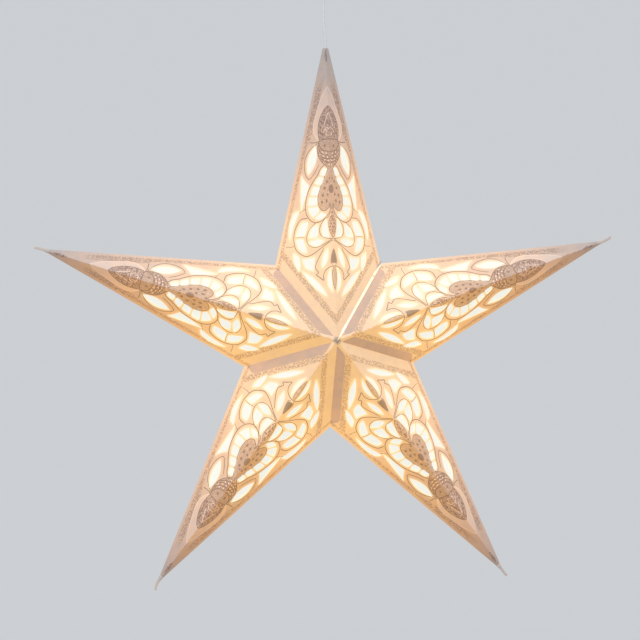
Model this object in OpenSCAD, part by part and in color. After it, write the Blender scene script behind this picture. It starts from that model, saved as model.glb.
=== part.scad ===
// Five-armed folded paper star lantern with cut-out ornament, hung on a thin cord.
// Inside hang the lampholder and its bulb, and the cord ends in a small ceiling rose.
// The origin is the middle of the rose's ceiling face. The front of the star faces -Y.

/* [Star] */
// Distance from the star's centre to the point where an arm's folds would meet
tip_radius = 310; // [280:5:340]
// Distance from the centre to the inner corner between two arms
corner_radius = 93; // [84:1:104]
// Distance from the middle plane to the point in front and behind
half_depth = 63; // [56:1:72]
// Radius of the pinhole where the five arms meet
pinhole_r = 1.5; // [1:0.1:2.5]
// Thickness of the card
card = 0.4; // [0.3:0.05:0.6]

/* [Flaps and seam] */
// Width of a glue flap
flap_w = 10; // [7:0.5:13]
// Distance from the inner corner to the start of a flap
flap_start = 4; // [3:0.5:10]
// Distance from the front point to the end of a flap
flap_end = 12; // [10:0.5:20]
// Width of the slit in the seam that is closed with ties
seam_gap = 2.5; // [1.5:0.1:4]

/* [Tips] */
// Length of a pinched tail beyond the point of the arm
tail_len = 6; // [3:0.5:10]
// Width of a pinched tail at its end
tail_w = 2.4; // [1.6:0.1:4]

/* [Lining] */
// Thickness of the translucent paper behind the cut-outs
lining = 0.2; // [0.1:0.05:0.3]
// Distance from the tip to the lining's edge, along the ridge
lining_start = 102; // [90:1:110]
// Bare strip between a glue flap and the lining
lining_margin = 2; // [1:0.5:3]

/* [Ties] */
// Thickness of the cotton tie
thread_d = 1.4; // [1:0.1:2]
// Distance from the seam to a tie hole
tie_reach = 5.5; // [4.5:0.1:6.5]
// Clearance round the thread in its hole
tie_gap = 0.35; // [0.2:0.05:0.5]
// Diameter of a tie's knot
knot_d = 4; // [3:0.5:5]
// Length of the loose ends of a tie
tie_end_len = 14; // [8:1:20]

/* [Cord] */
// Diameter of the cord
cord_d = 2.8; // [2.4:0.1:3.2]
// Length of cord between the rose and the star
cord_drop = 80; // [70:5:300]
// Clearance round the cord where it passes through paper or plastic
cord_gap = 0.1; // [0.05:0.05:0.3]

/* [Cord stop] */
// Distance from the arm's point to the top of the cord stop
stop_start = 20; // [18:1:30]
// Length of the cord stop
stop_len = 26; // [20:1:36]
// Clearance between the cord stop and the paper
stop_gap = 0.1; // [0.05:0.05:0.3]
// Diameter of the screw that grips the cord
stop_screw_d = 2.5; // [2:0.1:3]

/* [Lampholder] */
// Outer diameter of the lampholder
holder_d = 28; // [26:0.5:34]
// Outer diameter of the sleeve round the bulb's cap
sleeve_d = 21; // [20:0.5:25]
// Wall of the lampholder's cap and body
holder_wall = 1.8; // [1.4:0.1:2.4]
// Thickness of the porcelain insert
insert_h = 8; // [7:0.5:10]
// Height of the cap's dome
dome_h = 18; // [14:1:24]
// Length of the cap's cord nose
nose_len = 6; // [4:0.5:10]
// Diameter of the cap's cord nose
nose_d = 7; // [6:0.5:9]
// Length of the cap's skirt inside the body
skirt_len = 9; // [6:0.5:12]
// Gap between the bulb's neck and the lampholder's mouth
mouth_gap = 0.5; // [0.3:0.1:1]
// Clearance between the lampholder's fitted pieces
fit_gap = 0.1; // [0.05:0.05:0.2]
// Wall of the brass screw shell
shell_wall = 0.5; // [0.4:0.1:0.8]
// Diameter of a terminal screw
terminal_screw_d = 3; // [2.5:0.1:3.5]

/* [Bulb] */
// Diameter of the bulb's globe
globe_d = 45; // [40:1:50]
// Height from the globe's middle to the bulb's metal cap
neck_h = 33; // [30:1:40]
// Diameter of the bulb's metal cap
bulb_cap_d = 13.8; // [13.6:0.1:14]
// Length of the metal cap, without its contact
bulb_cap_len = 19; // [17:0.5:20]
// Height of the contact above the metal cap
bulb_contact_h = 3.5; // [3:0.1:4]

/* [Ceiling rose] */
// Outer diameter of the rose
rose_d = 70; // [66:1:100]
// Height of the rose
rose_h = 28; // [26:1:40]
// Wall of the rose's cup
rose_wall = 2; // [1.6:0.1:3]
// Width of the metal strap
strap_w = 16; // [14:1:20]
// Thickness of the metal strap
strap_t = 1.5; // [1.2:0.1:2]
// Distance between the strap's two ceiling screws
screw_spacing = 40; // [38:1:44]
// Diameter of the holes for the ceiling screws
screw_hole_d = 4.5; // [4:0.1:5.5]
// Height of the strap's turned-down ears
ear_h = 12; // [10:1:16]
// Diameter of the two side screws
side_screw_d = 3; // [2.5:0.1:4]
// Length of the cord grip below the cup
grip_len = 12; // [10:1:20]
// Diameter of the cord grip at the cup
grip_d = 13; // [12:0.5:16]
// Width of the terminal block
block_w = 18; // [14:1:20]
// Height of the terminal block
block_h = 11; // [9:1:12]

/* [Hidden] */

$fn = 64;
arm_step = 72;
half_step = arm_step / 2;
over = 1; // reach of a cutting body past what it cuts
far = 3 * tip_radius; // larger than the star

// An arm has four alike facets. In a facet's own plane u runs from the tip along the ridge
// and v runs square to it, towards the silhouette.
ridge_len = norm([tip_radius, half_depth]);
ridge_tilt = atan(half_depth / tip_radius);
corner_x = corner_radius * sin(half_step);
corner_z = corner_radius * cos(half_step);
corner_u = (tip_radius - corner_z) * cos(ridge_tilt);
corner_v = norm([corner_x, corner_u * sin(ridge_tilt), corner_z - tip_radius + corner_u * cos(ridge_tilt)]);
fold = acos(corner_x / corner_v);
valley_len = norm([ridge_len - corner_u, corner_v]);
valley_angle = atan(corner_v / (ridge_len - corner_u));

// Slope of the largest round bar that fits inside an arm
arm_slope = asin(sin(ridge_tilt) * cos(fold));
function arm_bore(from_tip, gap) = from_tip * tan(arm_slope) - (card + gap) / cos(arm_slope);
tip_cut = (cord_d / 2 + cord_gap + card / cos(arm_slope)) / tan(arm_slope);
valley_half = acos(sin(fold) * cos(half_step) - sin(ridge_tilt) * cos(fold) * sin(half_step));
fold_reach = 1.6 * card; // how far a sheet runs under its neighbour before it turns into a flap

// Heights
star_z = -(rose_h + grip_len + cord_drop + tip_radius - tip_cut);
mouth_z = neck_h + mouth_gap; // all lampholder heights are above the star's centre
insert_z = neck_h + bulb_cap_len;
insert_top = insert_z + insert_h;
body_top = insert_top + skirt_len;
dome_top = body_top + dome_h;
nose_top = dome_top + nose_len;
contact_z = neck_h + bulb_cap_len + bulb_contact_h;
contact_t = 0.5;
shell_r = bulb_cap_d / 2 + 0.2;
terminal_place = holder_d / 2 - 7.5; // distance of a terminal screw from the middle, inside the cap's skirt
grip_sleeve_r = grip_d / 2 - 1.8;
nut_h = 3;
slot = 0.8; // width of a screw's slot
head_h = 1.8; // height of a screw's head
thread_depth = 5; // depth of a terminal screw's hole
contact_r = 4; // radius of the contact's disc
ear_gap = 3; // room between the strap's ears and the cup's wall

// The cut-outs of the right half, mirrored to the left. Each is a ring of corners
// [u, v, bulge of the side that follows], in millimetres on an arm of the drawn size.
drawn_ridge = 316;
drawn_corner = 72;
shoulder_leaf = [[112, 18, 5.4], [142, 27.5, 5]];
side_sliver = [[141.5, 35.6, -0.6], [153, 26.6, 0.2], [179, 37.6, 0.6]];
ladder = [
    [[138, 4, 0.3], [145.8, 7.2, 0.3], [143.9, 13.2, 0.5], [137, 9.4, 0.3]],
    [[147.6, 8.4, 0.3], [155, 12.4, 0.3], [152.3, 20, 0.5], [145.4, 14.4, 0.3]],
    [[156.6, 13.4, 0.3], [164.6, 16.6, 0.3], [163.4, 25.6, 0.6], [154.4, 21, 0.3]],
    [[166.4, 17, 0.2], [174.3, 17.3, 0.3], [174.3, 28.8, 0.7], [165.2, 26.4, 0.3]],
    [[176.2, 17.2, 0.2], [181.2, 15.2, 0.4], [187, 23.6, 0.9], [176.2, 28.6, 0.3]],
    [[182.6, 13.2, 0.2], [186.2, 7, 0.3], [190.2, 13.4, 0.8], [188.4, 21.2, 0.4]]
];
outer_arc = [[178, 39.5, -1.4], [207, 53, 3.6], [179.5, 47, 0.8]];
outer_petal = [
    [[190.5, 30, 1], [204.6, 35.6, 0.3], [204, 45.4, 1.2], [190.5, 38, 0.8]],
    [[207, 37.2, 0.3], [222.4, 33, 0.4], [220.4, 39.8, 1.2], [207.2, 46, 0.6]]
];
middle_petal = [
    [[194.6, 17.6, 0.3], [206.8, 19.2, 0.6], [207.2, 30, 0.6], [197.6, 26.8, 0.6]],
    [[212.4, 11.6, 0.8], [217.2, 21, 0.8], [212.2, 31.2, 0.6], [208.8, 20, 0.5]]
];
inner_petal = [[189.4, 7.8, 0.2], [209.4, 4.8, 0.4], [208.6, 12.2, 3]];
stem_leaf = [[220.6, 7.2, 3.2], [240.4, 15, 3.4]];
lower_wedge = [[227.8, 23.8, 0], [242, 25.6, 0.6], [237.4, 35.4, 0.4], [227.8, 38.8, -0.4]];
lower_sliver = [[220.4, 49.2, 0.4], [225.8, 42.6, 0.8], [241, 42.6, 2.8]];
long_sliver = [[240.6, 39.4, 3.6], [270, 9.8, 3]];
bottom_petal = [[241.4, 4.4, -0.6], [266.8, 2.8, 5.4]];
cuts = concat([shoulder_leaf, side_sliver, outer_arc, inner_petal, stem_leaf, lower_wedge,
    lower_sliver, long_sliver, bottom_petal], ladder, outer_petal, middle_petal);
side_steps = 4;

// Points of one side of a cut-out, from p up to but not at q
function side(p, q, bulge) =
    let (d = q - p, out = [d[1], -d[0]] / norm(d), steps = bulge == 0 ? 1 : side_steps)
    [for (i = [0:steps - 1]) let (f = i / steps) p + d * f + out * 4 * f * (1 - f) * bulge];
function at(c) = [c[0] * ridge_len / drawn_ridge, c[1] * corner_v / drawn_corner];
function ring(c) = [for (i = [0:len(c) - 1]) each side(at(c[i]), at(c[(i + 1) % len(c)]), c[i][2])];

// Places of the ties, as distances from the inner corner along the seam
tie_places = [14, 48, 82] * valley_len / 112;

// The cord's route above the star: [height above the cut tip, sideways]. It hangs straight
// below these points, and above them up to the terminal block.
route_top = rose_h - strap_t - block_h + grip_len + cord_drop;
cord_route = [
    [0, 0], [6, -0.2], [12, -0.6], [20, -1.2], [28, -1.6], [36, -1.6], [44, -1.2],
    [52, -0.7], [60, -0.3], [68, 0]
];
bend_top = cord_route[len(cord_route) - 1][0];
cord_sides = 8;

module flip(on, axis) {
    if (on) mirror(axis) children();
    else children();
}

// Puts a drawing of one facet in its place on the upright arm, outer face at z = 0
module in_facet(left = false, back = false) {
    flip(back, [0, 1, 0]) flip(left, [1, 0, 0])
        translate([0, 0, tip_radius]) rotate([-ridge_tilt, 0, 0]) rotate([90, 90, 0])
            rotate([-fold, 0, 0]) children();
}

// Keeps what lies in the facet's own quarter of the arm, so facets meet in a mitre
module mitred(left, back) {
    intersection() {
        in_facet(left, back) children();
        flip(back, [0, 1, 0]) flip(left, [1, 0, 0])
            translate([0, -far, -far]) cube([far, far, 2 * far]);
    }
}

// Runs x along the valley from the inner corner, with the facet on the side of negative y
module on_valley() {
    translate([corner_u, corner_v]) rotate(-valley_angle) children();
}

// Turns the upright arm's frame to the arm before it, anticlockwise
module on_arm_before() {
    rotate([0, -arm_step, 0]) children();
}

module facet_sheet(left, back, cut_back) {
    mitred(left, back) translate([0, 0, -card]) linear_extrude(card) difference() {
        polygon([[0, 0], [corner_u, corner_v], [ridge_len, 0]]);
        for (c = cuts) polygon(ring(c));
        if (cut_back > 0) on_valley() translate([-over, -cut_back])
            square([valley_len + 2 * over, cut_back + over]);
    }
}

module flap_outline(inset) {
    on_valley() polygon([
        [flap_start, -inset], [valley_len - flap_end, -inset],
        [valley_len - flap_end - flap_w, -flap_w], [flap_start + flap_w / 2, -flap_w]
    ]);
}

// A flap under the sheet of the arm before, and the strip that joins it to its own sheet
module glue_flap(back) {
    on_arm_before() in_facet(false, back)
        translate([0, 0, -2 * card]) linear_extrude(card) flap_outline(0);
    difference() {
        in_facet(true, back) translate([0, 0, -card]) linear_extrude(card) on_valley()
            translate([flap_start, -over])
                square([valley_len - flap_end - flap_start, over + fold_reach]);
        on_arm_before() in_facet(false, back) translate([0, 0, -card])
            linear_extrude(card + over) on_valley() translate([-over, -flap_w])
                square([valley_len + 2 * over, flap_w]);
    }
}

// The edge beside the slit, folded back and glued down on its own sheet
module seam_hem(back) {
    glued = card / 2; // how deep the two layers reach into each other
    in_facet(true, back) translate([0, 0, -2 * card]) linear_extrude(card + glued)
        flap_outline(seam_gap / 2);
}

module tie_holes(left) {
    in_facet(left, true) translate([0, 0, -3 * card]) linear_extrude(6 * card) on_valley()
        for (s = tie_places) translate([s, -tie_reach]) circle(d = thread_d + 2 * tie_gap, $fn = 24);
}

// The four layers of the point, pressed flat
module pinched_tail() {
    root = tail_w * 4.5;
    root_w = root * corner_x / (tip_radius - corner_z);
    translate([0, card, tip_radius]) rotate([90, 0, 0]) linear_extrude(2 * card)
        polygon([[-tail_w / 2, tail_len], [tail_w / 2, tail_len], [root_w, -root], [-root_w, -root]]);
}

module arm(index, flap = true, right_seam = false, left_seam = false, open_tip = false) {
    color("antiquewhite") translate([0, 0, star_z]) rotate([0, index * arm_step, 0]) difference() {
        union() {
            for (back = [false, true]) {
                facet_sheet(false, back, right_seam ? seam_gap / 2 : 0);
                facet_sheet(true, back, left_seam ? seam_gap / 2 : 0);
                if (flap) glue_flap(back);
                if (left_seam) seam_hem(back);
            }
            if (!open_tip) pinched_tail();
        }
        rotate([90, 0, 0]) cylinder(r = pinhole_r, h = far, center = true);
        if (right_seam) tie_holes(false);
        if (left_seam) tie_holes(true);
        if (open_tip) translate([-far / 2, -far / 2, tip_radius - tip_cut]) cube(far);
    }
}

module arm_top() {
    arm(0, right_seam = true, open_tip = true);
}

module arm_right() {
    arm(1, flap = false, left_seam = true);
}

module arm_lower_right() {
    arm(2);
}

module arm_lower_left() {
    arm(3);
}

module arm_left() {
    arm(4);
}

// A band of translucent paper against the inside of all four facets
module lining_sheet(index) {
    edge = flap_w + lining_margin;
    color("lemonchiffon") translate([0, 0, star_z]) rotate([0, index * arm_step, 0])
        for (left = [false, true], back = [false, true])
            mitred(left, back) translate([0, 0, -card - lining]) linear_extrude(lining)
                difference() {
                    polygon([[0, 0], [corner_u, corner_v], [ridge_len, 0]]);
                    translate([-over, -over]) square([lining_start + over, corner_v + 2 * over]);
                    on_valley() translate([-far, -edge]) square([2 * far, edge + far]);
                }
}

module lining_top() {
    lining_sheet(0);
}

module lining_right() {
    lining_sheet(1);
}

module lining_lower_right() {
    lining_sheet(2);
}

module lining_lower_left() {
    lining_sheet(3);
}

module lining_left() {
    lining_sheet(4);
}

// A loop of thread through both edges of the seam, with its knot and loose ends outside
module seam_tie(place) {
    to_valley = 90 - valley_half;
    color("ivory") translate([0, 0, star_z]) in_facet(false, true)
        translate([corner_u, corner_v, 0]) rotate(-valley_angle) translate([place, 0, 0]) {
            rotate([0, 90, 0]) rotate_extrude() translate([tie_reach, 0])
                circle(d = thread_d, $fn = 24);
            rotate([to_valley, 0, 0]) translate([0, 0, tie_reach]) {
                sphere(d = knot_d, $fn = 32);
                for (way = [-1, 1]) rotate([0, way * 62, 0])
                    cylinder(d = thread_d, h = tie_end_len, $fn = 24);
            }
        }
}

module seam_tie_outer() {
    seam_tie(tie_places[0]);
}

module seam_tie_middle() {
    seam_tie(tie_places[1]);
}

module seam_tie_inner() {
    seam_tie(tie_places[2]);
}

// A cone that fills the top arm's point from inside and carries the star
module cord_stop() {
    stop_end = stop_start + stop_len;
    color("white") translate([0, 0, star_z + tip_radius - stop_end]) difference() {
        cylinder(r1 = arm_bore(stop_end, stop_gap), r2 = arm_bore(stop_start, stop_gap), h = stop_len);
        translate([0, 0, -over]) cylinder(d = cord_d + 2 * cord_gap, h = stop_len + 2 * over);
        translate([0, 0, stop_len / 4]) rotate([-90, 0, 0])
            cylinder(d = stop_screw_d, h = far);
    }
}

module stop_screw() {
    place = stop_start + stop_len * 3 / 4;
    sunk = 0.6; // how deep the screw's end lies in the cone
    depth = arm_bore(place, stop_gap) - cord_d / 2 - sunk;
    color("silver") translate([0, cord_d / 2, star_z + tip_radius - place])
        rotate([-90, 0, 0]) difference() {
            cylinder(d = stop_screw_d, h = depth);
            translate([-stop_screw_d, -slot / 4, depth - slot])
                cube([2 * stop_screw_d, slot / 2, 2 * slot]);
        }
}

// A tube with round rings swept along points
function ring_points(c, d) =
    [for (i = [0:cord_sides - 1]) let (a = 360 * (i + 0.5) / cord_sides)
        [c[0] + d / 2 * cos(a), d / 2 * sin(a), c[1]]];

module cord() {
    base = star_z + tip_radius - tip_cut;
    bottom = star_z + insert_top;
    spacing = 8;
    inner_steps = ceil((base - bottom) / spacing);
    outer_steps = ceil((route_top - bend_top) / spacing);
    path = concat(
        [for (i = [0:inner_steps - 1]) [0, bottom + (base - bottom) * i / inner_steps]],
        [for (p = cord_route) [p[1], base + p[0]]],
        [for (i = [1:outer_steps]) [0, base + bend_top + (route_top - bend_top) * i / outer_steps]]
    );
    rings = len(path);
    skin = [for (p = path) each ring_points(p, cord_d)];
    walls = [for (k = [0:rings - 2], i = [0:cord_sides - 1]) let (j = (i + 1) % cord_sides)
        [k * cord_sides + i, (k + 1) * cord_sides + i, (k + 1) * cord_sides + j, k * cord_sides + j]];
    lower_end = [[for (i = [0:cord_sides - 1]) i]];
    upper_end = [[for (i = [cord_sides - 1:-1:0]) (rings - 1) * cord_sides + i]];
    color("whitesmoke") polyhedron(skin, concat(walls, lower_end, upper_end), convexity = 4);
}

module at_star() {
    translate([0, 0, star_z]) children();
}

module lampholder_cap() {
    r = holder_d / 2;
    skirt_r = r - holder_wall - fit_gap;
    nose_r = nose_d / 2;
    bore_r = cord_d / 2 + cord_gap;
    color("white") at_star() rotate_extrude() polygon([
        [skirt_r - holder_wall, insert_top], [skirt_r, insert_top], [skirt_r, body_top],
        [r, body_top], [r, body_top + dome_h * 0.3], [r * 0.86, body_top + dome_h * 0.62],
        [r * 0.55, body_top + dome_h * 0.88], [nose_r, dome_top], [nose_r, nose_top],
        [bore_r, nose_top], [bore_r, dome_top - holder_wall],
        [r * 0.55 - holder_wall, body_top + dome_h * 0.88 - holder_wall],
        [skirt_r - holder_wall, body_top + dome_h * 0.3]
    ]);
}

module lampholder_body() {
    r = holder_d / 2;
    sleeve_r = sleeve_d / 2;
    bore_r = shell_r + shell_wall + fit_gap;
    shelf = insert_z - holder_wall;
    color("white") at_star() rotate_extrude() polygon([
        [bore_r, mouth_z], [sleeve_r, mouth_z], [sleeve_r, shelf - 3], [r, shelf],
        [r, body_top], [r - holder_wall, body_top], [r - holder_wall, insert_z],
        [bore_r, insert_z]
    ]);
}

// A porcelain disc with a pocket below for the contact and two threaded holes above
module lampholder_insert() {
    color("ivory") at_star() difference() {
        translate([0, 0, insert_z]) cylinder(r = holder_d / 2 - holder_wall - fit_gap, h = insert_h);
        translate([0, 0, insert_z - over])
            cylinder(r = contact_r + 1, h = contact_z + contact_t - insert_z + over);
        for (way = [-1, 1]) translate([way * terminal_place, 0, insert_top - thread_depth])
            cylinder(d = terminal_screw_d, h = thread_depth + over);
    }
}

module terminal_screws() {
    color("silver") at_star() for (way = [-1, 1]) translate([way * terminal_place, 0, insert_top]) {
        translate([0, 0, 1 - thread_depth]) cylinder(d = terminal_screw_d, h = thread_depth - 1);
        difference() {
            cylinder(d = terminal_screw_d + 2.4, h = head_h);
            translate([-terminal_screw_d, -slot / 2, head_h / 2])
                cube([2 * terminal_screw_d, slot, head_h]);
        }
    }
}

module screw_shell() {
    color("goldenrod") at_star() translate([0, 0, mouth_z + 1]) difference() {
        cylinder(r = shell_r + shell_wall, h = insert_z - mouth_z - 1);
        translate([0, 0, -over]) cylinder(r = shell_r, h = insert_z - mouth_z + over);
    }
}

module centre_contact() {
    color("goldenrod") at_star() translate([0, 0, contact_z]) cylinder(r = contact_r, h = contact_t);
}

// An opal globe, its neck and its metal cap, as one closed bulb
module bulb() {
    globe_r = globe_d / 2;
    shoulder = 50;
    cap_r = bulb_cap_d / 2;
    color("white") at_star() rotate_extrude() polygon(concat(
        [for (a = [-90:10:shoulder]) [globe_r * cos(a), globe_r * sin(a)]],
        [[cap_r + 2.4, neck_h - 6], [cap_r + 0.6, neck_h], [cap_r, neck_h],
        [cap_r, neck_h + bulb_cap_len - 1.5], [cap_r - 2, neck_h + bulb_cap_len],
        [2.4, neck_h + bulb_cap_len + 1.5], [2.4, contact_z], [0, contact_z]]
    ));
}

module rose_cup() {
    r = rose_d / 2;
    bevel = 6;
    color("white") difference() {
        rotate_extrude() polygon([
            [r - rose_wall, 0], [r, 0], [r, bevel - rose_h], [r - bevel, -rose_h],
            [grip_sleeve_r + fit_gap, -rose_h], [grip_sleeve_r + fit_gap, rose_wall - rose_h],
            [r - bevel - rose_wall / 2, rose_wall - rose_h], [r - rose_wall, bevel - rose_h + rose_wall / 2]
        ]);
        translate([0, 0, -ear_h / 2 - strap_t]) rotate([0, 90, 0])
            cylinder(d = side_screw_d + 2 * fit_gap, h = far, center = true);
    }
}

module rose_strap() {
    span = rose_d - 2 * (rose_wall + fit_gap + ear_gap);
    color("silver") difference() {
        union() {
            translate([-span / 2, -strap_w / 2, -strap_t]) cube([span, strap_w, strap_t]);
            for (way = [-1, 1]) translate([way * (span - strap_t) / 2, 0, -(strap_t + ear_h) / 2])
                cube([strap_t, strap_w, strap_t + ear_h], center = true);
        }
        for (way = [-1, 1]) translate([way * screw_spacing / 2, 0, -strap_t - over])
            cylinder(d = screw_hole_d, h = strap_t + 2 * over);
        translate([0, 0, -ear_h / 2 - strap_t]) rotate([0, 90, 0])
            cylinder(d = side_screw_d, h = far, center = true);
    }
}

module rose_side_screws() {
    inner = rose_d / 2 - rose_wall - fit_gap - ear_gap - strap_t;
    color("silver") for (way = [0, 180]) rotate(way)
        translate([inner - 1, 0, -ear_h / 2 - strap_t]) rotate([0, 90, 0]) {
            cylinder(d = side_screw_d, h = rose_d / 2 - inner + 1);
            translate([0, 0, rose_d / 2 - inner + 1]) difference() {
                cylinder(d = side_screw_d + 2.6, h = head_h);
                translate([-side_screw_d, -slot / 2, head_h / 2])
                    cube([2 * side_screw_d, slot, head_h]);
            }
        }
}

module cord_grip() {
    bore_r = cord_d / 2 + cord_gap;
    inside = rose_wall + nut_h + 1 - rose_h;
    color("white") rotate_extrude() polygon([
        [bore_r, -rose_h - grip_len], [bore_r + 1.2, -rose_h - grip_len],
        [grip_d / 2, -rose_h - grip_len * 0.35], [grip_d / 2, -rose_h],
        [grip_sleeve_r, -rose_h], [grip_sleeve_r, inside], [bore_r, inside]
    ]);
}

module grip_nut() {
    color("white") translate([0, 0, rose_wall - rose_h]) difference() {
        cylinder(r = grip_sleeve_r + 3, h = nut_h, $fn = 6);
        translate([0, 0, -over]) cylinder(r = grip_sleeve_r, h = nut_h + 2 * over, $fn = 64);
    }
}

module terminal_block() {
    depth = strap_w * 0.7;
    color("white") translate([0, 0, -strap_t - block_h]) difference() {
        translate([-block_w / 2, -depth / 2, 0]) cube([block_w, depth, block_h]);
        for (way = [-1, 1]) translate([way * block_w / 4, 0, block_h / 2]) rotate([90, 0, 0])
            cylinder(d = 3, h = depth + over, center = true);
    }
}

arm_top();
arm_right();
arm_lower_right();
arm_lower_left();
arm_left();
lining_top();
lining_right();
lining_lower_right();
lining_lower_left();
lining_left();
seam_tie_outer();
seam_tie_middle();
seam_tie_inner();
cord_stop();
stop_screw();
cord();
lampholder_cap();
lampholder_body();
lampholder_insert();
terminal_screws();
screw_shell();
centre_contact();
bulb();
rose_cup();
rose_strap();
rose_side_screws();
cord_grip();
grip_nut();
terminal_block();
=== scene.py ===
import math
import bmesh
import bpy
import numpy as np
from mathutils import Matrix, Vector
from mathutils.geometry import delaunay_2d_cdt


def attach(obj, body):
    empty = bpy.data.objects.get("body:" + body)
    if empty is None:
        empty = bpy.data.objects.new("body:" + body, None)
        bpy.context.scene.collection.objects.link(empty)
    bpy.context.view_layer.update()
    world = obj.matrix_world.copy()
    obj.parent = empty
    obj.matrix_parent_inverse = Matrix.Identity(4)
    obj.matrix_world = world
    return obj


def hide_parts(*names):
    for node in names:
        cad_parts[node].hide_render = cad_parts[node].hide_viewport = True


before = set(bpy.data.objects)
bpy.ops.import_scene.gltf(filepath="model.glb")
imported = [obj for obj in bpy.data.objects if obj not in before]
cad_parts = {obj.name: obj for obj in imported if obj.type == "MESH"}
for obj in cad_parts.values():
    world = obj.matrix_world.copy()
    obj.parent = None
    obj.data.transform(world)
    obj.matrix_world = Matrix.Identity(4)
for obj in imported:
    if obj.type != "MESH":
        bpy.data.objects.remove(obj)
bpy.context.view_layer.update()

mm = 0.001
scene = bpy.context.scene
print("lantern frame loaded")

# Shared sizes, the same as in the CAD source, in mm
star = dict(
    tip=310.0,      # centre to the point where an arm's folds would meet
    corner=93.0,    # centre to the inner corner between two arms
    depth=63.0,     # middle plane to the front and back points
    card=0.4,
    cordWidth=2.8,
    cordGap=0.1,
    cordDrop=80.0,
    roseHeight=28.0,
    gripLength=12.0,
)
halfStep = math.radians(36)
ridgeLen = math.hypot(star["tip"], star["depth"])
tilt = math.atan2(star["depth"], star["tip"])
cornerX = star["corner"] * math.sin(halfStep)
cornerZ = star["corner"] * math.cos(halfStep)
cornerU = (star["tip"] - cornerZ) * math.cos(tilt)
cornerV = math.hypot(cornerX, (star["tip"] - cornerZ) * math.sin(tilt))
fold = math.acos(cornerX / cornerV)
slope = math.asin(math.sin(tilt) * math.cos(fold))
tipCut = (star["cordWidth"] / 2 + star["cordGap"] + star["card"] / math.cos(slope)) / math.tan(slope)
valleyLen = math.hypot(ridgeLen - cornerU, cornerV)
valleyAngle = math.atan2(cornerV, ridgeLen - cornerU)
starZ = -(star["roseHeight"] + star["gripLength"] + star["cordDrop"] + star["tip"] - tipCut)
centre = np.array([0.0, 0.0, starZ])


# Camera, fitted to the photo's outline
view = dict(
    distance=2227.0, focalPixels=2150.0, roll=-1.08, pitch=2.76, yaw=7.6,
    sideways=9.2, upwards=-17.7, picture=640,
)


def addCamera():
    r, p, y = (math.radians(view[k]) for k in ("roll", "pitch", "yaw"))
    about = Matrix.Rotation(y, 3, "Z") @ Matrix.Rotation(p, 3, "X") @ Matrix.Rotation(r, 3, "Y")
    back = about.transposed()  # from the camera's axes to the star's
    seat = Vector((-view["sideways"], -view["distance"], -view["upwards"]))
    data = bpy.data.cameras.new("photoCamera")
    data.lens = view["focalPixels"] / view["picture"] * data.sensor_width
    data.clip_end = 50
    cam = bpy.data.objects.new("photoCamera", data)
    scene.collection.objects.link(cam)
    axes = [back @ Vector(axis) for axis in ((1, 0, 0), (0, 0, 1), (0, -1, 0))]
    turn = Matrix(axes).transposed()
    cam.matrix_world = Matrix.Translation((back @ seat + Vector(centre)) * mm) @ turn.to_4x4()
    scene.camera = cam


addCamera()


def link(name, mesh, nodes=()):
    piece = bpy.data.objects.new(name, mesh)
    scene.collection.objects.link(piece)
    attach(piece, "root")
    if nodes:
        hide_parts(*nodes)
    return piece


def throughPoints(points, step=1.5):  # a smooth line through the given points
    p = np.array(points, float)
    if len(p) < 3:
        n = max(2, int(np.linalg.norm(p[-1] - p[0]) / step) + 1)
        return p[0] + (p[-1] - p[0]) * np.linspace(0, 1, n)[:, None]
    p = np.vstack([2 * p[0] - p[1], p, 2 * p[-1] - p[-2]])
    out = []
    for a, b, c, d in zip(p[:-3], p[1:-2], p[2:-1], p[3:]):
        n = max(2, int(np.ceil(np.linalg.norm(c - b) / step)))
        for t in np.arange(n) / n:
            out.append(0.5 * (2 * b + (c - a) * t + (2 * a - 5 * b + 4 * c - d) * t * t
                              + (3 * b - a - 3 * c + d) * t ** 3))
    return np.array(out + [p[-2]])


def carriedFrame(path, closed=False):  # directions along and across a line, carried on without twist
    along = np.roll(path, -1, 0) - np.roll(path, 1, 0) if closed else np.gradient(path, axis=0)
    along = along / np.linalg.norm(along, axis=1)[:, None]
    side = np.array([0.0, 1.0, 0.0]) if abs(along[0][1]) < 0.9 else np.array([1.0, 0.0, 0.0])
    sides = []
    for d in along:
        side = side - d * side.dot(d)
        side = side / np.linalg.norm(side)
        sides.append(side)
    return along, np.array(sides), np.cross(along, sides)


def addTube(bm, path, radius, sides=12, closed=False):  # path and radius in mm
    path = np.array(path, float)
    radii = np.broadcast_to(np.asarray(radius, float), (len(path),))
    _, side, other = carriedFrame(path, closed)
    turn = [2 * math.pi * i / sides for i in range(sides)]
    rings = [[bm.verts.new(Vector(p + (s * math.cos(a) + o * math.sin(a)) * r) * mm) for a in turn]
             for p, s, o, r in zip(path, side, other, radii)]
    for a, b in list(zip(rings, rings[1:])) + ([(rings[-1], rings[0])] if closed else []):
        for i in range(sides):
            j = (i + 1) % sides
            bm.faces.new((a[i], a[j], b[j], b[i])).smooth = True
    if not closed:
        bm.faces.new(rings[0][::-1])
        bm.faces.new(rings[-1])


def finished(bm, name):
    bmesh.ops.recalc_face_normals(bm, faces=bm.faces)
    mesh = bpy.data.meshes.new(name)
    bm.to_mesh(mesh)
    bm.free()
    return mesh


def put(tree, kind, inputs=(), out=0, **settings):  # one node; an input is a value or another node's output
    node = tree.nodes.new("ShaderNode" + kind)
    for key, value in settings.items():
        setattr(node, key, value)
    for key, value in (inputs.items() if isinstance(inputs, dict) else enumerate(inputs)):
        if isinstance(value, bpy.types.NodeSocket):
            tree.links.new(value, node.inputs[key])
        elif value is not None:
            node.inputs[key].default_value = value
    return node.outputs[out]


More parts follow.
